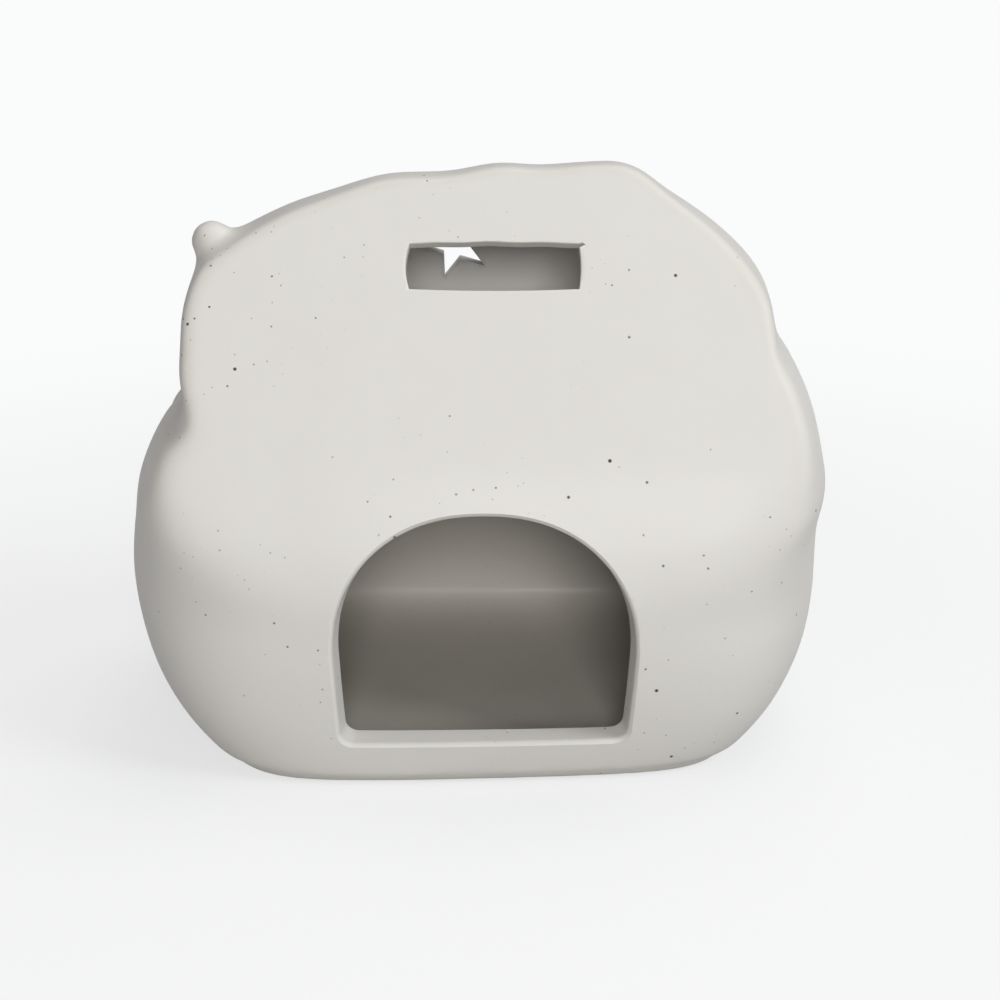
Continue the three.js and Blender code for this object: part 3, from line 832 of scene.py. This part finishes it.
def door_cutter(form, cuts):
    """The door narrows as it goes in, and its outer edge is rounded."""
    body = form.body
    middle = cuts.door_height / 2

    def put(wider, depth):
        x, z = wider[:, 0], wider[:, 1]
        off = form.depth(x + cuts.door_x, z + cuts.sill) - depth
        away = cuts.door_taper * (off - body.back_depth)
        x = x * (1 + 2 * away / cuts.door_width) + cuts.door_x
        z = (z - middle) * (1 + 2 * away / cuts.door_height) + middle + cuts.sill
        return np.column_stack([x, -off, z])

    levels = lip_levels(cuts.door_lip, body.wall, 3 * body.wall)
    return cutter("door", door_outline(cuts), levels, put)


SLOT_WAVES = 9  # radians of waver over half the upper edge


def slot_cutter(form, cuts):
    """The slot is cut by hand, square to the leaning wall, so its long edges waver."""
    half, rise = cuts.slot_width / 2, cuts.slot_height / 2
    bow, nick = cuts.slot_bow, cuts.slot_nick
    along = np.linspace(-1, 1, 48)
    up_right = np.linspace(-0.9, 0.85, 8)
    up_left = np.linspace(-0.9, 0.9, 12)
    lower = [(half * t, -rise - bow / 2 * (1 - t * t)) for t in along]
    right = [(half + bow / 2 * (1 - t * t), rise * t) for t in up_right]
    corner = [(half + nick, rise - nick / 8), (half + nick / 2, rise + nick / 8)]  # a blunt point
    upper = []
    for t in along:
        swell = bow / 2 + cuts.slot_waver * math.sin(SLOT_WAVES * t + 1)
        upper.append((-half * t, rise + swell * (1 - t * t)))
    left = [(-half - bow * (1 - t * t), -rise * t) for t in up_left]
    flat = np.array(lower + right + corner + upper + left)
    depth, _, lean = form.slopes(cuts.slot_x, cuts.slot_z)
    centre = np.array([cuts.slot_x, -depth, cuts.slot_z])
    out = np.array([0, -1, lean])
    out /= np.linalg.norm(out)
    across = np.array([1, 0, 0])
    up = np.cross(out, across)

    def put(wider, depth):
        place = centre + across * wider[:, :1] + up * wider[:, 1:]
        swell = (form.depth(place[:, 0], place[:, 2]) + place[:, 1]) * abs(out[1])
        return place + out * (swell[:, None] - depth)

    levels = lip_levels(cuts.slot_lip, 2 * form.body.wall, 2 * form.body.wall)
    return cutter("slot", flat, levels, put)


FOOT_TURN = math.radians(60)  # the foot's edge is rounded through this, and then the space opens


def foot_space(form):
    """Everything above the table and inside the rounded edge of the foot."""
    body = form.body
    edge = body.foot_round
    levels = [
        (edge * (1 - math.cos(turn)), -edge * (1 - math.sin(turn)))
        for turn in np.linspace(0, FOOT_TURN, LIP_ROWS)
    ]
    levels += [(edge, edge / 4), (body.crown / 2, body.crown)]
    space = solid("space", form.foot_rows(levels))
    reach = body.width
    above = block("above", (-reach, -reach, body.crown / 2 - MM), (reach, reach, 2 * reach))
    return combined(space, above, "UNION")


BALL_SEGMENTS = 48
BALL_ROWS = 24


def bump_ball(form):
    """The small bump on the left shoulder."""
    body = form.body
    turn = math.radians(body.bump_turn)
    reach = form.plan.edge(turn) + body.bump_off
    angle = np.arange(BALL_SEGMENTS) / BALL_SEGMENTS * TWO_PI
    rows = []
    for lean in np.linspace(0, math.pi, BALL_ROWS + 2)[1:-1]:
        x = reach * math.cos(turn) + body.bump_radius * math.sin(lean) * np.cos(angle)
        z = body.crown + reach * math.sin(turn) + body.bump_radius * math.sin(lean) * np.sin(angle)
        y = np.full(BALL_SEGMENTS, -body.bump_back - body.bump_radius * math.cos(lean))
        rows.append(np.column_stack([x, y, z]))
    return solid("bump", rows)


MOUND_FACETS = (480, 64)  # round the outline, and from a crown to the outline
CHAMBER_FACETS = (300, 48)


def formed_body(context):
    """The whole holder as one body, before it is parted. Its place is that of the packed part."""
    form, place = form_and_place(context)
    body, cuts = form.body, context.scene.holder_cuts
    whole = solid("form", form.mound(*MOUND_FACETS))
    combined(whole, bump_ball(form), "UNION")
    combined(whole, cloud_bank(form), "UNION")
    filled(whole, body)
    combined(whole, foot_space(form), "INTERSECT")
    soften(whole, body)
    chamber = noted(skin("chamber", form.chamber(*CHAMBER_FACETS)), "inside", 1)
    combined(whole, laid_out("chamber", chamber), "DIFFERENCE")
    inset = -body.foot_round - body.foot_ring
    levels = [(-MM, inset), (body.floor_top - body.floor_thickness, inset)]
    combined(whole, solid("hollow", form.foot_rows(levels)), "DIFFERENCE")
    combined(whole, door_cutter(form, cuts), "DIFFERENCE")
    combined(whole, slot_cutter(form, cuts), "DIFFERENCE")
    combined(whole, star_punches(form, cuts), "DIFFERENCE")
    whole.data.transform(Matrix.Translation(place))
    return whole


# The soft skin that the glaze gives, and the parting of the body into its castings


def mesh_numbers(mesh, points=True):
    """The place or the normal of each point of a mesh, as rows."""
    numbers = np.empty(3 * len(mesh.vertices), np.float32)
    if points:
        mesh.vertices.foreach_get("co", numbers)
    else:
        mesh.vertex_normals.foreach_get("vector", numbers)
    return numbers.reshape(-1, 3).astype(float)


def relaxed(points, ends, times):
    """Moves each point halfway to the middle of its neighbours, so many times."""
    count = np.bincount(ends.ravel(), minlength=len(points))
    for _ in range(times):
        middles = []
        for axis in range(3):
            along = points[:, axis]
            total = np.bincount(ends[:, 0], along[ends[:, 1]], len(points))
            total += np.bincount(ends[:, 1], along[ends[:, 0]], len(points))
            middles.append(total / count)
        points = (points + np.stack(middles, 1)) / 2
    return points


def evenly_faced(whole, fineness):
    """Lays the surface out again in even facets. Gives its points and the ends of its edges."""
    step = whole.modifiers.new("even", "REMESH")
    step.mode = "VOXEL"
    step.voxel_size = fineness
    mesh = settled(whole).data
    ends = np.empty(2 * len(mesh.edges), np.int32)
    mesh.edges.foreach_get("vertices", ends)
    return mesh_numbers(mesh), ends.reshape(-1, 2)


def moved(mesh, points):
    """Puts the points of a mesh in new places."""
    mesh.vertices.foreach_set("co", points.astype(np.float32).ravel())
    mesh.update()


NORMALS_LAST = 6  # rounds of filling that go by the same directions out of the surface


def filled(whole, body):
    """Works slip into the hollows between the clouds and the mound, and only there."""
    points, ends = evenly_faced(whole, body.slip_fineness)
    mesh = whole.data
    for step in range(body.slip_filling):
        if step % NORMALS_LAST == 0:
            moved(mesh, points)
            out = mesh_numbers(mesh, points=False)
        rise = ((relaxed(points, ends, 1) - points) * out).sum(1)
        points = points + np.maximum(0, rise)[:, None] * out
    moved(mesh, points)


CREASE_SPREAD = 30  # how far out a crease is felt, in rounds of evening out
CREASE_DEPTH = 0.25 * MM  # what a full crease is filled up by in them


def soften(whole, body):
    """Rounds every edge a little, and notes on each point how hollow or how sharp its place is."""
    points, ends = evenly_faced(whole, body.fineness)
    mesh = whole.data
    points = relaxed(points, ends, body.softening)
    points[:, 2] = np.maximum(points[:, 2], 0)
    moved(mesh, points)
    pulled = relaxed(points, ends, CREASE_SPREAD) - points
    hollow = (pulled * mesh_numbers(mesh, points=False)).sum(1) / CREASE_DEPTH
    noted(mesh, "crease", np.clip(hollow, -1, 1))


SHARP = math.radians(38)  # an edge that turns by more than this isn't shaded as round


def matched(mesh, whole):
    """Gives a casting smooth faces, and the numbers of the body it was parted from."""
    tree = search_tree(mesh_numbers(whole))
    near = np.array([tree.find(point)[1] for point in mesh_numbers(mesh).tolist()])
    for key in ("crease", "inside"):
        numbers = np.empty(len(whole.vertices), np.float32)
        whole.attributes[key].data.foreach_get("value", numbers)
        mesh.attributes.remove(mesh.attributes[key])
        noted(mesh, key, numbers[near])
    mesh.shade_smooth()
    mesh.set_sharp_from_angle(angle=SHARP)


FORM = "softened_form"  # the mesh that all castings are parted from
FLOOR_MARGIN = 2 * MM  # the floor's casting ends this far inside the walls
FLOOR_SKIRT = 1 * MM  # height of its rim above the table
FLOOR_RISE = 4 * MM  # how far up the cove it goes


def form_and_place(context):
    """The form of the body, and where its own middle lies in the packed part."""
    form = Form(context.scene.holder_body)
    low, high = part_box("back_shell")
    return form, Vector((low.x - form.left_end(), high.y + SEAM_GAP / 2, 0))


def half_space(form, place, front):
    """Everything on one side of the seam."""
    reach = 2 * form.body.width
    near, far = (0, reach) if front else (-reach, 0)
    return block(
        "half", (place.x - reach, place.y + near, -reach), (place.x + reach, place.y + far, reach)
    )


def floor_plug(form, place):
    """The space that the floor's casting takes."""
    body = form.body
    inset = -body.wall - FLOOR_MARGIN
    rows = form.foot_rows([(FLOOR_SKIRT, inset), (body.floor_top + FLOOR_RISE, inset)])
    plug = solid("plug", rows)
    plug.data.transform(Matrix.Translation(place))
    return plug


def casting(name, finish, *cuts):
    """Parts one casting from the softened body: it is cut with each body in turn."""
    whole = bpy.data.meshes[FORM]
    made = laid_out(name + "_cast", whole.copy())
    for other, operation in cuts:
        combined(made, other, operation)
    matched(made.data, whole)
    made.data.materials.clear()
    made.data.materials.append(glazed())
    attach(made, "root")
    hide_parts(name)


def shell(context, name, front):
    """Parts one half of the body along the seam, without its floor."""
    form, place = form_and_place(context)
    half = half_space(form, place, front)
    casting(name, "white_glaze", (floor_plug(form, place), "DIFFERENCE"), (half, "INTERSECT"))


# Finishes


def emptied(holder):
    """The node tree of a material or of the world, without its first nodes."""
    holder.use_nodes = True
    holder.node_tree.nodes.clear()
    return Nodes(holder.node_tree)


def noise(nodes, place, size, detail=2):
    """Soft noise from 0 to 1 whose patches are of a size."""
    inputs = {"Vector": place, "Scale": 1 / size, "Detail": detail, "Roughness": 0.5}
    return nodes.value("ShaderNodeTexNoise", inputs)


def waver(soft, reach):
    """Soft noise that swings evenly about nothing."""
    return (soft - 0.5) * reach


def mixed(nodes, share, one, other):
    """A colour between two, which a Mix node takes by its sockets 6 and 7."""
    inputs = {0: share, 6: (*one, 1) if isinstance(one, tuple) else one, 7: (*other, 1)}
    return nodes.value("ShaderNodeMix", inputs, out=2, data_type="RGBA")


SPECK_EDGE = 0.11 * MM  # how softly a speck ends
SPECK_SHIFT = (0.0137, 0.0291, 0.0073)  # shift and turn, so that no row of cells lies along a face
SPECK_AXIS = (0.5, 0.3, 0.8)
SPECK_TURN = 0.9
SPECK_LEAST = 0.25  # size of the smallest speck, as a share of the largest
SPECK_FAINTEST = 0.45  # and how much it covers


def specks(nodes, place, spacing, radius):
    """Dark specks scattered through the clay, from faint small ones to dark ones of the radius."""
    shifted = nodes.value("ShaderNodeVectorMath", {0: place, 1: SPECK_SHIFT}, operation="ADD")
    turn = {"Vector": shifted, "Axis": SPECK_AXIS, "Angle": SPECK_TURN}
    cells = {
        "Vector": nodes.value("ShaderNodeVectorRotate", turn),
        "Scale": 1 / spacing, "Randomness": 1.0,
    }
    spots = nodes.add("ShaderNodeTexVoronoi", cells)
    lot = nodes.value("ShaderNodeSeparateColor", {0: spots.outputs["Color"]})
    size = (lot * (1 - SPECK_LEAST) + SPECK_LEAST) * (radius / spacing)
    near = size - Value(nodes, spots.outputs["Distance"])
    edge = SPECK_EDGE / spacing
    return near.above(-edge, edge) * (lot * (1 - SPECK_FAINTEST) + SPECK_FAINTEST)


# Sizes of the patches in which the glaze varies
PATCHES = 45 * MM
MOTTLE = 11 * MM
GRAIN = 0.9 * MM
DUST_CLOUDS = 30 * MM
SWELL = 17 * MM
PEEL = 2.8 * MM

# Where a coat begins and where it is full
THICK = (0.05, 0.85)  # of how hollow the place is
THIN = (0.15, 0.95)  # of how sharp the edge is
DUSTY = (0.52, 0.62)  # of the noise that gathers the finest specks
PAINTED_SHADE_HEIGHTS = (35 * MM, 85 * MM)  # heights between which the painted shade low inside ends
PAINTED_SHADE_WAVER = 20 * MM
FOOT_LINE = (0.4 * MM, 1.1 * MM)  # heights between which the glaze was wiped off

GRAIN_HEIGHT = 0.12 * MM  # of the bare porcelain
SPECK_PIT = 0.03 * MM
BARE_ROUGHNESS = 0.8


def glazed():
    """White glaze, warm where it is thin, cooler where it runs thick, with iron specks, painted
    light high inside and painted shade low inside.
    """
    name = "glazed_porcelain"
    made = bpy.data.materials.get(name)
    if made:
        return made
    look = bpy.context.scene.holder_glaze
    made = bpy.data.materials.new(name)
    nodes = emptied(made)
    place = nodes.add("ShaderNodeTexCoord").outputs["Object"]
    height = nodes.value("ShaderNodeSeparateXYZ", {0: place}, out=2)
    crease, inside = (
        nodes.value("ShaderNodeAttribute", out="Fac", attribute_name=key)
        for key in ("crease", "inside")
    )

    patches = noise(nodes, place, PATCHES, detail=3)
    mottle = noise(nodes, place, MOTTLE, detail=4)
    thick = (crease * 0.9 + waver(patches, 0.9)).above(*THICK)
    thin = (crease * -0.8 + waver(mottle, 0.5)).above(*THIN)
    dusty = noise(nodes, place, DUST_CLOUDS, detail=1).above(*DUSTY)
    speck = specks(nodes, place, look.speck_spacing, look.speck_radius)
    speck = speck + specks(nodes, place, look.dust_spacing, look.dust_radius) * dusty
    # painted shade: 1 low inside, falling to 0 between the two heights
    low = 1 - (height + waver(mottle, PAINTED_SHADE_WAVER)).above(*PAINTED_SHADE_HEIGHTS)
    foot = 1 - height.above(*FOOT_LINE)

    colour = tuple(look.white)
    coats = (  # how much each covers of what lies under it, and its colour
        (thick * 0.75, look.pooled),
        (thin * 0.4, look.edge),
        ((mottle - 0.35).clamped() * 0.25, look.edge),
        (speck.clamped(), look.speck),
        # painted light high inside the chamber
        (inside * (1 - low), look.clean),
        # painted shade low inside the chamber
        (inside * low * 0.85, look.inside),
        (foot, look.bare),
    )
    for share, coat in coats:
        colour = mixed(nodes, share, colour, tuple(coat))

    rough = look.gloss + waver(patches, 0.12) + thin * 0.08 + speck * 0.15
    rough = rough + foot * (BARE_ROUGHNESS - rough)
    swell = waver(noise(nodes, place, SWELL, detail=1), look.swell)
    peel = waver(noise(nodes, place, PEEL), look.peel)
    grain = noise(nodes, place, GRAIN) * foot * GRAIN_HEIGHT
    relief = {"Height": swell + peel + grain - speck * SPECK_PIT, "Distance": 1.0, "Strength": 1.0}
    finish = {
        "Base Color": colour, "Roughness": rough,
        "Normal": nodes.value("ShaderNodeBump", relief),
        "Specular IOR Level": 0.4, "Coat Weight": (1 - foot) * 0.05, "Coat Roughness": 0.15,
    }
    shader = nodes.value("ShaderNodeBsdfPrincipled", finish)
    nodes.add("ShaderNodeOutputMaterial", {"Surface": shader})
    return made


PAPER_ROUGHNESS = 0.85
EVEN_REACH = (0.06, 0.35)  # metres from the holder between which the paper turns quite even
EVEN_SHARE = 0.66  # and how even it is at the holder


def paper(name, colour, bounce):
    """Pale paper under the holder that takes its shadow, and runs out into an even background."""
    made = bpy.data.materials.new(name)
    nodes = emptied(made)
    place = nodes.add("ShaderNodeTexCoord").outputs["Object"]
    away = nodes.value("ShaderNodeVectorMath", {0: place}, out="Value", operation="LENGTH")
    rays = nodes.add("ShaderNodeLightPath").outputs
    seen = Value(nodes, rays["Is Camera Ray"]) + rays["Is Glossy Ray"] + rays["Is Transmission Ray"]
    seen = seen.clamped()
    shown = mixed(nodes, seen, bounce, colour)
    finish = {"Base Color": shown, "Roughness": PAPER_ROUGHNESS}
    lit = nodes.value("ShaderNodeBsdfPrincipled", finish)
    even = nodes.value("ShaderNodeEmission", {"Color": (*colour, 1), "Strength": 1.0})
    share = (away.above(*EVEN_REACH) * (1 - EVEN_SHARE) + EVEN_SHARE) * seen
    both = nodes.value("ShaderNodeMixShader", {0: share, 1: lit, 2: even})
    nodes.add("ShaderNodeOutputMaterial", {"Surface": both})
    return made


# The stage


FLOOR_REACH = 6.0  # metres from the holder to the sides of the paper
LAMP_AIM = (0, 0, 0.05)  # the place that all lamps face
LAMPS = (  # name, the setting that holds the power, place, size and colour
    ("main_lamp", "key_power", (1.0, -0.5, 0.9), 0.5, (0.95, 1.0, 1.0)),
    ("top_lamp", "top_power", (0.25, 0.3, 1.15), 0.8, (1.0, 0.99, 0.98)),
    ("front_lamp", "front_power", (0.08, -1.25, 0.52), 0.35, (1.0, 0.985, 0.97)),
)
ROOM_COLOUR = (1.0, 0.955, 0.955, 1)
SENSOR = 36  # millimetres, the width of film that the lens is meant for
NEAREST = 0.01  # metres before the camera where its view begins


def lamp(name, energy, place, size, colour):
    """A soft square lamp that faces the holder."""
    light = bpy.data.lights.new(name, "AREA")
    light.size = size
    light.energy = energy
    light.color = colour
    made = bpy.data.objects.new(name, light)
    bpy.context.scene.collection.objects.link(made)
    made.location = place
    made.rotation_euler = (Vector(LAMP_AIM) - Vector(place)).to_track_quat("-Z", "Y").to_euler()


# Operators


class HOLDER_OT_form(bpy.types.Operator):
    """Form the whole body with its openings, and soften it"""

    bl_idname = "candle_holder.form"
    bl_label = "Form the body"

    def execute(self, context):
        whole = formed_body(context)
        whole.data.name = FORM
        whole.data.use_fake_user = True
        bpy.data.objects.remove(whole)
        return {"FINISHED"}


class HOLDER_OT_back_shell(bpy.types.Operator):
    """Part the back shell, with the candle door and the heat slot, from the body"""

    bl_idname = "candle_holder.back_shell"
    bl_label = "Back shell"

    def execute(self, context):
        shell(context, "back_shell", front=False)
        return {"FINISHED"}


class HOLDER_OT_front_shell(bpy.types.Operator):
    """Part the front shell, with its clouds and stars, from the body"""

    bl_idname = "candle_holder.front_shell"
    bl_label = "Front shell"

    def execute(self, context):
        shell(context, "front_shell", front=True)
        return {"FINISHED"}


class HOLDER_OT_floor_plate(bpy.types.Operator):
    """Part the dished floor from the body"""

    bl_idname = "candle_holder.floor_plate"
    bl_label = "Floor plate"

    def execute(self, context):
        form, place = form_and_place(context)
        plug = floor_plug(form, place)
        casting("floor_plate", "floor_glaze", (plug, "INTERSECT"))
        return {"FINISHED"}


class HOLDER_OT_stage(bpy.types.Operator):
    """Set up the pale floor, the soft lamps and the camera"""

    bl_idname = "candle_holder.stage"
    bl_label = "Floor, lamps and camera"

    def execute(self, context):
        scene = context.scene
        stage = scene.holder_stage
        _, place = form_and_place(context)
        far = FLOOR_REACH
        corners = [(-far, -far, 0), (far, -far, 0), (far, far, 0), (-far, far, 0)]
        mesh = bpy.data.meshes.new("floor")
        mesh.from_pydata(corners, [], [(0, 1, 2, 3)])
        mesh.materials.append(paper("floor_paper", tuple(stage.floor), tuple(stage.bounce)))
        laid_out("floor", mesh)

        for name, setting, *rest in LAMPS:
            lamp(name, getattr(stage, setting), *rest)

        world = bpy.data.worlds.new("room")
        nodes = emptied(world)
        even = {"Color": ROOM_COLOUR, "Strength": stage.room}
        light = nodes.value("ShaderNodeBackground", even)
        nodes.add("ShaderNodeOutputWorld", {"Surface": light})
        scene.world = world

        camera = bpy.data.cameras.new("camera")
        camera.lens = stage.lens
        camera.sensor_width = SENSOR
        camera.clip_start = NEAREST
        held = bpy.data.objects.new("camera", camera)
        scene.collection.objects.link(held)
        lean = math.radians(stage.elevation)
        aim = place + Vector((stage.aim_x, 0, stage.aim_z))
        held.location = aim + stage.distance * Vector((0, -math.cos(lean), math.sin(lean)))
        held.rotation_euler = (math.pi / 2 - lean, 0, 0)
        scene.camera = held
        scene.view_settings.view_transform = "Standard"
        return {"FINISHED"}


class HOLDER_PT_panel(bpy.types.Panel):
    """Sizes, finishes and steps of the candle holder"""

    bl_label = "Candle holder"
    bl_idname = "HOLDER_PT_panel"
    bl_space_type = "VIEW_3D"
    bl_region_type = "UI"
    bl_category = "Candle holder"

    def draw(self, context):
        layout = self.layout
        scene = context.scene
        for name, kind in GROUPS.items():
            box = layout.box()
            box.label(text=kind.__doc__)
            for key in kind.__annotations__:
                box.prop(getattr(scene, name), key)
        for step in STEPS:
            layout.operator(step.bl_idname)


GROUPS = {
    "holder_body": HolderBody,
    "holder_cuts": HolderCuts,
    "holder_glaze": HolderGlaze,
    "holder_stage": HolderStage,
}
STEPS = (
    HOLDER_OT_form, HOLDER_OT_back_shell, HOLDER_OT_front_shell, HOLDER_OT_floor_plate,
    HOLDER_OT_stage,
)


def register():
    for key, group in GROUPS.items():
        bpy.utils.register_class(group)
        setattr(bpy.types.Scene, key, PointerProperty(type=group))
    for made in (*STEPS, HOLDER_PT_panel):
        bpy.utils.register_class(made)


def unregister():
    for made in (HOLDER_PT_panel, *reversed(STEPS)):
        bpy.utils.unregister_class(made)
    for key, group in GROUPS.items():
        delattr(bpy.types.Scene, key)
        bpy.utils.unregister_class(group)


def main():
    """Takes every step in turn."""
    register()
    bpy.ops.candle_holder.form()
    bpy.ops.candle_holder.back_shell()
    bpy.ops.candle_holder.front_shell()
    bpy.ops.candle_holder.floor_plate()
    bpy.ops.candle_holder.stage()


if __name__ == "__main__":
    main()
